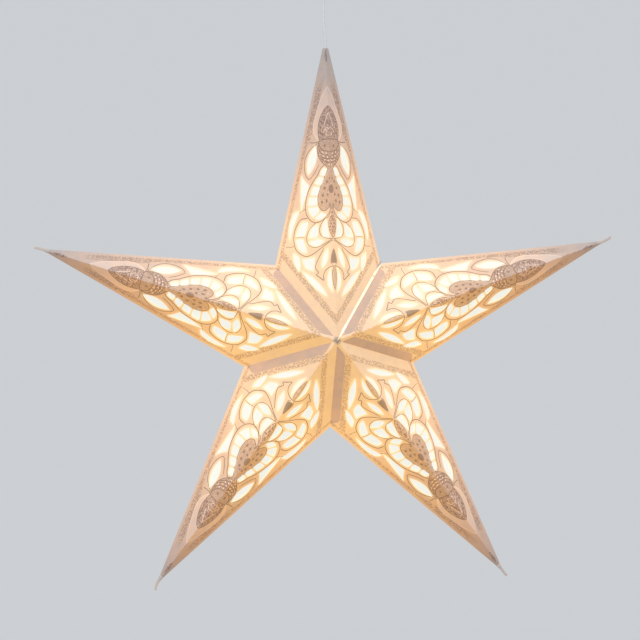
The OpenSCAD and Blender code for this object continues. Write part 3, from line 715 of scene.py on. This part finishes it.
def cardMaterial(tone):
    look = cardLook[tone]
    mat, tree, shader = newMaterial("card" + tone.capitalize(), look["colour"], 0.8)
    shader.inputs["Specular IOR Level"].default_value = 0.35
    place = attribute(tree, "place")
    outer, valley, flap = split(tree, attribute(tree, "edges"))
    glow, skyward, beside = split(tree, attribute(tree, "light"))
    fibre = noise(tree, place, 1.3, 4.0, Roughness=0.65)
    cloud = noise(tree, place, 0.11, 3.0, Roughness=0.6)
    marks = squiggles(tree, place, cardLook["squiggle"])
    if tone == "plain":
        amount = stippledBorders(tree, place, outer, valley, fibre)
        amount = maths(tree, "MULTIPLY", amount, cardLook["border"])
    else:
        amount = look["marks"]
    inked = maths(tree, "MULTIPLY", maths(tree, "SUBTRACT", 1.0, marks), amount)
    clear = blended(tree, inked, (1, 1, 1, 1), (*cardLook["ink"], 1))
    double = stepBetween(tree, flap, -0.35, 0.35)
    # light that the print throws back
    warm = [c * k for c, k in zip(look["colour"], (1.06, 1.0, 0.93))]
    cool = [c * k for c, k in zip(look["colour"], (0.93, 0.96, 1.0))]
    colour = blended(tree, stepBetween(tree, cloud, 0.3, 0.7), (*cool, 1), (*warm, 1))
    colour = scaled(tree, colour, maths(tree, "MULTIPLY_ADD", fibre, 0.16, 0.92))
    colour = joined(tree, "MULTIPLY", colour, clear)
    # light from the bulb, through the card
    # painted light from above: cooler on facets that look up, warmer on those that look down
    up = maths(tree, "MAXIMUM", skyward, 0.0)
    down = maths(tree, "MAXIMUM", maths(tree, "SUBTRACT", up, skyward), 0.0)
    down = maths(tree, "MINIMUM", down, maths(tree, "MULTIPLY", glow, 2.5))  # the tips have no light to tint
    lit = joined(tree, "ADD", glowRamp(tree, glow), scaled(tree, cardLook["skyTint"], up))
    lit = joined(tree, "ADD", lit, scaled(tree, cardLook["floorTint"], down))
    lit = joined(tree, "MAXIMUM", lit, cardLook["least"])
    central = stepBetween(tree, glow, 0.72, 0.8)
    dimmed = maths(tree, "MULTIPLY_ADD", central, cardLook["doubledAtCentre"] - 1, 1.0)
    behind = scaled(tree, cardLook["doubled"], dimmed)
    lit = blended(tree, double, lit, joined(tree, "MULTIPLY", lit, behind))
    lit = joined(tree, "MULTIPLY", lit, clear)
    lit = scaled(tree, lit, maths(tree, "MULTIPLY_ADD", cloud, 0.28, 0.86))
    lit = scaled(tree, lit, maths(tree, "MULTIPLY_ADD", fibre, 0.14, 0.93))
    # painted glow along the edges of the cut-outs
    near = maths(tree, "EXPONENT", maths(tree, "MULTIPLY", beside, -1 / cardLook["bloomReach"]))
    lit = joined(tree, "ADD", lit, scaled(tree, cardLook["bloom"], near))
    lit = scaled(tree, lit, look["passes"])
    # the layers meet in the middle and let little through
    fromMiddle = maths(tree, "SUBTRACT", ridgeLen, maths(tree, "ABSOLUTE", split(tree, place)[0]))
    fading = {"Value": fromMiddle, "From Min": 1.6, "From Max": 5.5, "To Min": cardLook["middle"]}
    lit = scaled(tree, lit, put(tree, "MapRange", fading, interpolation_type="SMOOTHSTEP"))
    shader.inputs["Emission Strength"].default_value = 1.0
    height = maths(tree, "ADD", maths(tree, "MULTIPLY", fibre, 0.5), maths(tree, "MULTIPLY", double, 2.0))
    feed(shader, Base_Color=colour, Emission_Color=lit, Normal=roughened(tree, height, 0.4),
         Roughness=maths(tree, "MULTIPLY_ADD", fibre, 0.2, 0.7))
    return mat


def insideMaterial():
    look = insideLook
    mat, tree, shader = newMaterial("cardInside", look["colour"], 0.85)
    place, glow = attribute(tree, "place"), split(tree, attribute(tree, "light"))[0]
    fibre = noise(tree, place, 1.3, 4.0)
    # painted glow from the bulb on the card's inner face
    lit = blended(tree, fibre, (*look["low"], 1), (*look["high"], 1))
    atPoint = stepBetween(tree, split(tree, place)[0], 284.0, 296.0)  # painted shade behind the hole in the middle
    clearOfIt = maths(tree, "MULTIPLY_ADD", atPoint, -0.94, 1.0)
    seen = maths(tree, "MULTIPLY", stepBetween(tree, glow, 0.02, 0.42), clearOfIt)
    feed(shader, Base_Color=mottled(tree, fibre, look["colour"], 0.9), Emission_Color=scaled(tree, lit, seen))
    shader.inputs["Emission Strength"].default_value = 1.0
    return mat


armNames = ["top", "right", "lower_right", "lower_left", "left"]  # clockwise, as in the CAD nodes' names
cardMaterials = [cardMaterial(t) for t in tones[:-1]] + [insideMaterial()]
tails = dict(
    root=9.5, reach=6.0, width=2.8, thick=0.9, folds=0.35, settled=0.55, bend=8,
    lean=[0, -10.6, -3.5, -17.5, -5.0],   # sideways bend of each arm's tail, in degrees
    nod=[0, 6.0, -8.0, 5.0, -10.0],       # bend towards the front
)


def addTail(mesh, arm):  # the point's four layers, pinched flat and a little bent
    bm = bmesh.new()
    bm.from_mesh(mesh)
    layers = [bm.verts.layers.float_vector.get(n) for n in ("place", "edges", "light")]
    t = tails
    wide = cornerX / (star["tip"] - cornerZ)
    deep = star["depth"] / star["tip"]
    rings = []
    steps = 16
    random = np.random.default_rng(40 + arm)
    for k in range(steps + 1):
        f = k / steps
        z = -t["root"] + (t["root"] + t["reach"]) * f
        e = min(1, f / t["settled"])
        e = e * e * (3 - 2 * e)  # 0 at the star's point, 1 where the tail is flat
        narrowed = 1 - 0.3 * max(0, f - 0.6)
        halfWide = (1 - e) * t["root"] * wide * (1 - f * 0.5) + e * t["width"] / 2 * narrowed
        halfDeep = (1 - e) * t["root"] * deep * (1 - f * 0.6) + e * t["thick"] / 2
        past = max(0, f - 0.4) / 0.6
        bend = t["bend"] * past * past
        x = math.tan(math.radians(t["lean"][arm])) * bend + random.uniform(-0.08, 0.08) * past
        y = -math.tan(math.radians(t["nod"][arm])) * bend
        ring = []
        for i in range(12):
            a = 2 * math.pi * i / 12
            cx, cy = math.cos(a), math.sin(a)
            square = 1 / (abs(cx) + abs(cy))  # a diamond at the root
            flatter = 1 / max(abs(cx) ** 3 + abs(cy) ** 3, 0.1) ** (1 / 3)
            r = square * (1 - e) + flatter * e
            crease = 1 - t["folds"] * e * (abs(cy) if i % 3 else 0)
            ring.append((x + cx * r * halfWide, y + cy * r * halfDeep * crease, star["tip"] + z))
        rings.append(ring)
    place = Matrix.Translation((0, 0, starZ * mm)) @ Matrix.Rotation(math.radians(72 * arm), 4, "Y")
    made = [[bm.verts.new(place @ (Vector(p) * mm)) for p in ring] for ring in rings]
    for k, ring in enumerate(made):
        for i, vert in enumerate(ring):
            vert[layers[0]] = (6 + k, i * 1.5, arm * 40)
            vert[layers[1]] = (2, 99, -50)
            vert[layers[2]] = (0.02, 0, 99)
    faces = []
    for a, b in zip(made, made[1:]):
        for i in range(12):
            j = (i + 1) % 12
            faces.append(bm.faces.new((a[i], b[i], b[j], a[j])))
    faces.append(bm.faces.new(made[-1]))
    faces.append(bm.faces.new(made[0][::-1]))
    for f in faces:
        f.material_index = tones.index("pale")
        f.smooth = True
    bmesh.ops.recalc_face_normals(bm, faces=faces)
    bm.to_mesh(mesh)
    bm.free()


def addArm(arm):
    name = "card_" + armNames[arm]
    trim = tails["root"] if arm else tipCut
    mesh = foldedMesh(name, arm, ~pattern["cut"], lambda flat: np.zeros(len(flat)), trim)
    mesh = thickened(mesh, name, star["card"])
    if arm:
        addTail(mesh, arm)
    link(name, mesh, ["arm_" + armNames[arm]])


for arm in range(5):
    addArm(arm)
print("arms folded")


liningLook = dict(
    thickness=0.2, behind=0.55, sag=0.9,
    colour=(0.34, 0.33, 0.29),
    # the lining's painted glow from the bulb: pale in the middle of each cut-out, yellower towards its rim
    core=(0.68, 0.675, 0.62), rim=(0.62, 0.545, 0.35), edgeWidth=1.1,
)


def liningMaterial():
    look = liningLook
    mat, tree, shader = newMaterial("liningPaper", look["colour"], 0.7)
    place = attribute(tree, "place")
    beside = split(tree, attribute(tree, "light"))[2]
    grain = joined(tree, "MULTIPLY", place, (0.5, 1.6, 1))
    fibre = noise(tree, grain, 1.0, 5.0, Roughness=0.7)
    cloud = noise(tree, place, 0.09, 2.0)
    # painted glow, yellower near the cut's edge
    inward = stepBetween(tree, beside, 0.0, look["edgeWidth"])
    lit = blended(tree, inward, (*look["rim"], 1), (*look["core"], 1))
    lit = scaled(tree, lit, maths(tree, "MULTIPLY_ADD", fibre, 0.06, 0.97))
    lit = scaled(tree, lit, maths(tree, "MULTIPLY_ADD", cloud, 0.06, 0.97))
    shader.inputs["Emission Strength"].default_value = 1.0
    feed(shader, Base_Color=mottled(tree, fibre, look["colour"], 0.92), Emission_Color=lit,
         Normal=roughened(tree, fibre, 0.2))
    return mat


liningPaper = liningMaterial()


def addLining(arm):
    name = "backing_" + armNames[arm]
    look = liningLook

    def depthOf(flat):
        near = np.minimum.reduce([flat[:, 1], fromOuter(flat), flat[:, 0] - mesh2d["liningStart"]])
        fade = np.clip(near / 10, 0, 1)
        waves = 0.5 + 0.5 * np.sin(flat[:, 0] / 9 + flat[:, 1] / 7 + arm)
        return look["behind"] + look["sag"] * fade * waves

    mesh = foldedMesh(name, arm, pattern["lined"], depthOf, 0)
    mesh = thickened(mesh, name, look["thickness"])
    mesh.polygons.foreach_set("material_index", np.zeros(len(mesh.polygons), np.int32))
    mesh.materials.clear()
    mesh.materials.append(liningPaper)
    link(name, mesh, ["lining_" + armNames[arm]])


for arm in range(5):
    addLining(arm)
print("linings in place")


tieLook = dict(
    thread=0.36, offset=0.33, pitch=2.6, knot=0.56,
    ends=(13.2, 12.0), droop=2.4, fray=6,
    through=128.2,         # where round the loop it passes the card, in degrees
    colour=(0.72, 0.68, 0.58),
)


def cottonMaterial():
    mat, tree, shader = newMaterial("cottonThread", tieLook["colour"], 0.9, **{"Sheen Weight": 0.3})
    place = put(tree, "TexCoord", out=3)
    fluff = noise(tree, place, 2600.0, 4.0)
    ply = put(tree, "TexWave", {"Vector": place, "Scale": 900.0, "Distortion": 3.0, "Detail": 2.0},
              bands_direction="DIAGONAL")
    shade = maths(tree, "MULTIPLY_ADD", ply, 0.5, maths(tree, "MULTIPLY", fluff, 0.5))
    feed(shader, Base_Color=mottled(tree, shade, tieLook["colour"], 0.72),
         Normal=roughened(tree, shade, 0.5, 0.0002), Roughness=maths(tree, "MULTIPLY_ADD", fluff, 0.2, 0.78))
    return mat


def addPlies(bm, path, closed=False, phase=0.0):  # two strands twisted round a line
    look = tieLook
    _, side, other = carriedFrame(path, closed)
    run = np.concatenate([[0], np.cumsum(np.linalg.norm(np.diff(path, axis=0), axis=1))])
    turns = max(1, round(run[-1] / look["pitch"]))
    for k in range(2):
        a = (run / run[-1] * turns * 2 * math.pi + phase + k * math.pi)[:, None]
        strand = path + (side * np.cos(a) + other * np.sin(a)) * look["offset"]
        addTube(bm, strand, look["thread"], 8, closed)


def addTie(name, node, place, seed):
    look, random = tieLook, np.random.default_rng(seed)
    seamward = np.array([math.sin(halfStep), 0, math.cos(halfStep)])
    backward = np.array([0.0, 1.0, 0.0])
    along = backward * star["depth"] - seamward * star["corner"]
    along = along / np.linalg.norm(along)
    out = seamward * star["depth"] + backward * star["corner"]
    out = out / np.linalg.norm(out)
    across = np.cross(along, out)
    seat = centre + seamward * star["corner"] + along * place * valleyLen / mesh2d["drawnValley"]
    bm = bmesh.new()
    turn = np.linspace(0, 2 * math.pi, 72, endpoint=False)
    through = math.cos(math.radians(look["through"]))
    reach = mesh2d["tieReach"] * (1 - 0.05 * (np.cos(2 * turn) - through))
    lean = 0.5 * np.sin(turn) + random.uniform(-0.2, 0.2)
    ring = seat + (np.cos(turn) * reach)[:, None] * out + (np.sin(turn) * reach)[:, None] * across
    addPlies(bm, ring + lean[:, None] * along * 0.4, True)
    s = np.linspace(0, 2 * math.pi, 80, endpoint=False)
    knot = np.stack([np.sin(s) + 2 * np.sin(2 * s), np.cos(s) - 2 * np.cos(2 * s), -1.3 * np.sin(3 * s)], 1)
    knotSeat = seat + out * (mesh2d["tieReach"] - 0.2)
    knot = knotSeat + look["knot"] * (knot[:, :1] * along + knot[:, 1:2] * across + knot[:, 2:] * out)
    addTube(bm, knot, look["thread"] * 1.7, 10, True)
    for way, length in zip((-1, 1), look["ends"]):
        f = np.linspace(0, 1, 26)[:, None]
        heading = out * math.cos(math.radians(62)) + way * along * math.sin(math.radians(62))
        curl = across * 0.8 * np.sin(f * 5 + random.uniform(0, 6)) * f
        end = knotSeat + heading * length * f + curl - np.array([0, 0, look["droop"]]) * f ** 2
        addPlies(bm, end, False, random.uniform(0, 3))
        tip, heading = end[-1], (end[-1] - end[-3]) / np.linalg.norm(end[-1] - end[-3])
        for _ in range(look["fray"]):
            stray = heading + random.uniform(-0.35, 0.35, 3)
            g = np.linspace(-0.3, 1, 5)[:, None]
            addTube(bm, tip + stray * g * random.uniform(1.0, 1.9), [0.11, 0.11, 0.1, 0.08, 0.05], 5)
    mesh = finished(bm, name)
    mesh.materials.append(cotton)
    link(name, mesh, [node])


cotton = cottonMaterial()
for k, which in enumerate(("outer", "middle", "inner")):
    addTie("tie_" + which, "seam_tie_" + which, mesh2d["tiePlaces"][k], 7 + k)
print("ties knotted")


finishes = dict(
    plastic=dict(colour=(0.74, 0.73, 0.7), roughness=0.42, metal=0.0, shade=0.94, grain=1500.0, bump=0.12),
    zinc=dict(colour=(0.6, 0.61, 0.63), roughness=0.36, metal=1.0, shade=0.8, grain=420.0, bump=0.25),
    brass=dict(colour=(0.72, 0.52, 0.22), roughness=0.3, metal=1.0, shade=0.82, grain=500.0, bump=0.15),
    porcelain=dict(colour=(0.78, 0.75, 0.68), roughness=0.6, metal=0.0, shade=0.95, grain=900.0, bump=0.3),
    opal=dict(colour=(0.8, 0.77, 0.7), roughness=0.25, metal=0.0, shade=0.97, grain=300.0, bump=0.05),
)


def finishMaterial(name):
    look = finishes[name]
    metal = look["metal"]
    mat, tree, shader = newMaterial(name + "Finish", look["colour"], look["roughness"], Metallic=metal)
    place = put(tree, "TexCoord", out=3)
    grain = noise(tree, place, look["grain"], 4.0, Roughness=0.6)
    cloud = noise(tree, place, 60.0, 3.0)
    mixed = maths(tree, "ADD", maths(tree, "MULTIPLY", grain, 0.12), maths(tree, "MULTIPLY", cloud, 0.12))
    feed(shader, Base_Color=mottled(tree, cloud, look["colour"], look["shade"]),
         Roughness=maths(tree, "ADD", mixed, look["roughness"] - 0.12),
         Normal=roughened(tree, grain, look["bump"]))
    if name == "opal":
        lit = blended(tree, cloud, (1.0, 0.78, 0.5, 1), (1.0, 0.86, 0.62, 1))
        feed(shader, Emission_Color=lit)
        shader.inputs["Emission Strength"].default_value = 1.0
    return mat


finish = {name: finishMaterial(name) for name in finishes}
nodeFinish = dict(
    cord_stop="plastic", stop_screw="zinc", lampholder_cap="plastic", lampholder_body="plastic",
    lampholder_insert="porcelain", terminal_screws="zinc", screw_shell="brass", centre_contact="brass",
    bulb="opal", rose_strap="zinc", rose_side_screws="zinc", grip_nut="plastic", terminal_block="plastic",
)
for node, name in nodeFinish.items():
    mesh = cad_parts[node].data
    mesh.materials.clear()
    mesh.materials.append(finish[name])

roseLook = dict(
    radius=35.0, wall=2.0, bevel=6.0, rounding=0.9, sleeve=4.8,   # the cup
    gripRadius=6.5, gripTip=2.7, bore=1.5,                        # the cord grip below it
    ribs=5, ribDepth=0.35,
)


def roundedRing(points, radius, steps=5):  # a closed profile with its corners rounded
    points = [np.array(p, float) for p in points]
    ring = []
    for k, p in enumerate(points):
        a, c = points[k - 1] - p, points[(k + 1) % len(points)] - p
        room = min(radius, np.linalg.norm(a) * 0.45, np.linalg.norm(c) * 0.45)
        a, c = p + a / np.linalg.norm(a) * room, p + c / np.linalg.norm(c) * room
        ring += [(1 - f) ** 2 * a + 2 * f * (1 - f) * p + f * f * c for f in np.linspace(0, 1, steps)]
    return ring


def lathed(name, ring, sides=96):  # a closed profile of radius and height, turned round the cord
    bm = bmesh.new()
    rows = []
    for k in range(sides):
        a = 2 * math.pi * k / sides
        rows.append([bm.verts.new((r * math.cos(a) * mm, r * math.sin(a) * mm, z * mm)) for r, z in ring])
    for a, b in zip(rows, rows[1:] + rows[:1]):
        for i in range(len(ring)):
            j = (i + 1) % len(ring)
            bm.faces.new((a[i], a[j], b[j], b[i])).smooth = True
    return finished(bm, name)


def addRose():
    look = roseLook
    r, low = look["radius"], -star["roseHeight"]
    inner, wall = look["sleeve"], look["wall"]
    cup = roundedRing([
        (r - wall, 0), (r, 0), (r, look["bevel"] + low), (r - look["bevel"], low), (inner, low),
        (inner, low + wall), (r - look["bevel"] - wall / 2, low + wall),
        (r - wall, low + look["bevel"] + wall / 2)], look["rounding"])
    mesh = lathed("rose_cover", cup)
    mesh.materials.append(finish["plastic"])
    link("rose_cover", mesh, ["rose_cup"])
    length, wide, thin = star["gripLength"], look["gripRadius"], look["gripTip"]
    side = []
    for k in range(look["ribs"] * 4 + 1):  # shallow rings down the cone
        f = k / (look["ribs"] * 4)
        groove = look["ribDepth"] * (0.5 - 0.5 * math.cos(f * look["ribs"] * 2 * math.pi))
        radius = wide + (thin - wide) * f - groove
        side.append((max(radius, look["bore"] + 0.6), low - length * (0.35 + 0.65 * f)))
    grip = [(look["bore"], low + 6), (look["bore"], low - length)] + side[::-1]
    grip += roundedRing([(wide, low - 0.4), (wide, low)], 0.3)[:5]
    grip += [(inner - 0.1, low), (inner - 0.1, low + 6)]
    mesh = lathed("cord_relief", grip, 64)
    mesh.materials.append(finish["plastic"])
    link("cord_relief", mesh, ["cord_grip"])


addRose()
print("rose and finishes done")


room = dict(
    floor=-2.2, flat=4.2, curve=1.8, top=4.5,     # a pale bowl all round, in metres
    colour=(0.6, 0.61, 0.63), shown=0.33, daylight=0.42, above=0.65,
)


def shownTo(tree):  # 1 where the camera looks, straight or through glass or in a reflection
    rays = put(tree, "LightPath").node.outputs
    seen = maths(tree, "MAXIMUM", rays["Is Camera Ray"], rays["Is Glossy Ray"])
    return maths(tree, "MAXIMUM", seen, rays["Is Transmission Ray"])


def addRoom():
    r = room
    profile = [(0.02, r["floor"]), (r["flat"], r["floor"])]
    for k in range(1, 25):
        a = math.pi / 2 * k / 24
        profile.append((r["flat"] + r["curve"] * math.sin(a), r["floor"] + r["curve"] * (1 - math.cos(a))))
    profile.append((r["flat"] + r["curve"], r["top"]))
    bm = bmesh.new()
    turn = [2 * math.pi * k / 96 for k in range(96)]
    rows = [[bm.verts.new((d * math.cos(a), d * math.sin(a), z)) for a in turn] for d, z in profile]
    bm.faces.new(rows[0])
    for a, b in zip(rows, rows[1:]):
        for i in range(96):
            j = (i + 1) % 96
            bm.faces.new((a[i], a[j], b[j], b[i])).smooth = True
    mesh = bpy.data.meshes.new("paleBowl")
    bm.to_mesh(mesh)
    bm.free()
    mat, tree, shader = newMaterial("paleBackdrop", r["colour"], 0.9)
    grain = noise(tree, put(tree, "TexCoord", out=3), 12.0, 3.0)
    shader.inputs["Emission Color"].default_value = (0.97, 0.985, 1.0, 1)
    feed(shader, Base_Color=mottled(tree, grain, r["colour"], 0.985),
         Emission_Strength=maths(tree, "MULTIPLY", shownTo(tree), r["shown"]))
    mesh.materials.append(mat)
    bowl = bpy.data.objects.new("paleBowl", mesh)
    scene.collection.objects.link(bowl)
    # the soft room light reaches the lantern from all sides
    bowl.visible_diffuse = bowl.visible_shadow = False


softboxes = dict(
    keyLight=dict(place=(-0.9, -2.0, 1.9), size=1.8, power=46, colour=(0.94, 0.97, 1.0)),
    fillLight=dict(place=(2.2, -1.9, 0.1), size=1.6, power=14, colour=(1.0, 0.99, 0.97)),
    rimLight=dict(place=(0.6, 0.9, 1.3), size=1.2, power=8, colour=(0.95, 0.97, 1.0)),
    lowLight=dict(place=(-1.5, -1.7, -1.9), size=1.4, power=10, colour=(1.0, 0.97, 0.93)),
)


def addSoftbox(name, place, size, power, colour):  # a lamp aimed at the middle of the star
    data = bpy.data.lights.new(name, "AREA")
    data.shape, data.size, data.size_y = "RECTANGLE", size, size
    data.energy, data.color = power, colour
    lamp = bpy.data.objects.new(name, data)
    scene.collection.objects.link(lamp)
    lamp.location, lamp.visible_camera = place, False
    aim = Vector(centre) * mm - Vector(place)
    lamp.rotation_euler = aim.to_track_quat("-Z", "Y").to_euler()


def addWorld():  # even daylight, and above the bowl's rim the bowl's own paleness
    world = bpy.data.worlds.new("softRoom")
    world.use_nodes = True
    sky = world.node_tree.nodes["Background"]
    sky.inputs["Color"].default_value = (0.93, 0.96, 1.0, 1)
    strength = maths(world.node_tree, "MULTIPLY_ADD", shownTo(world.node_tree),
                     room["above"] - room["daylight"], room["daylight"])
    world.node_tree.links.new(strength, sky.inputs["Strength"])
    scene.world = world


addRoom()
addWorld()
for name, lamp in softboxes.items():
    addSoftbox(name, **lamp)
scene.view_settings.view_transform = "Standard"
print("room and lights set")
